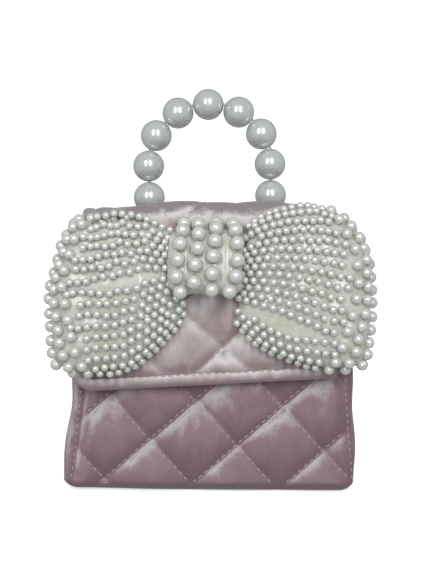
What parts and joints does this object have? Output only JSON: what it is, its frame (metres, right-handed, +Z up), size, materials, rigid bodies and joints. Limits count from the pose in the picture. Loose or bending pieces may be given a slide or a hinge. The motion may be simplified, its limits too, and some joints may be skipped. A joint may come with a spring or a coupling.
{
  "type": "miniature top-handle handbag",
  "caption": "Small quilted velvet handbag with a hinged flap, a pearl-beaded bow on the flap and a tilting top handle of pearl beads.",
  "frame": {"origin": "middle of the underside of the base panel, where the bag stands", "axes": "+Z up, -Y out of the front with the bow, +X to the right as seen from the front"},
  "size_m": [0.1372, 0.0792, 0.1771],
  "materials": {
    "velvet": "crushed velvet, quilted over foam, dusty pink",
    "lining": "plain woven satin lining",
    "board": "plain grey board",
    "snap_metal": "nickel plated",
    "cord": "nylon coated cord",
    "bow_film": "ivory felt and film over stuffing",
    "pearl": "pearl lacquer on moulded beads"
  },
  "bodies": {
    "bag": {"base_panel": "velvet", "base_board": "board", "front_panel": "velvet", "back_panel": "velvet", "left_gusset": "velvet", "right_gusset": "velvet", "bag_lining": "lining", "hinge_piping": "velvet", "snap_socket": "snap_metal", "snap_socket_washer": "snap_metal"},
    "flap": {"flap_cover": "velvet", "flap_lining": "lining", "flap_hem": "velvet", "snap_stud": "snap_metal", "snap_stud_washer": "snap_metal", "left_eyelet": "snap_metal", "right_eyelet": "snap_metal", "left_crimp": "snap_metal", "right_crimp": "snap_metal", "left_cord_end": "cord", "right_cord_end": "cord", "bow_backing": "bow_film", "bow_left_wing": "bow_film", "bow_right_wing": "bow_film", "bow_knot": "bow_film", "bow_left_rim_pearls": "pearl", "bow_left_face_pearls": "pearl", "bow_right_rim_pearls": "pearl", "bow_right_face_pearls": "pearl", "knot_strand_1": "pearl", "knot_strand_2": "pearl", "knot_strand_3": "pearl", "knot_strand_4": "pearl"},
    "handle": {"handle_bead_1": "pearl", "handle_bead_2": "pearl", "handle_bead_3": "pearl", "handle_bead_4": "pearl", "handle_bead_5": "pearl", "handle_bead_6": "pearl", "handle_bead_7": "pearl", "handle_bead_8": "pearl", "handle_bead_9": "pearl", "handle_cord": "cord"}
  },
  "joints": [
    {"name": "flap_hinge", "type": "hinge", "parent": "bag", "child": "flap", "pos_m": [0, 0.023, 0.1185], "axis": [-1, 0, 0], "range_deg": [0, 105]},
    {"name": "handle_tilt", "type": "hinge", "parent": "flap", "child": "handle", "pos_m": [0, 0.004, 0.1285], "axis": [1, 0, 0], "range_deg": [-70, 80], "deforming": ["left_cord_end", "right_cord_end"]}
  ]
}
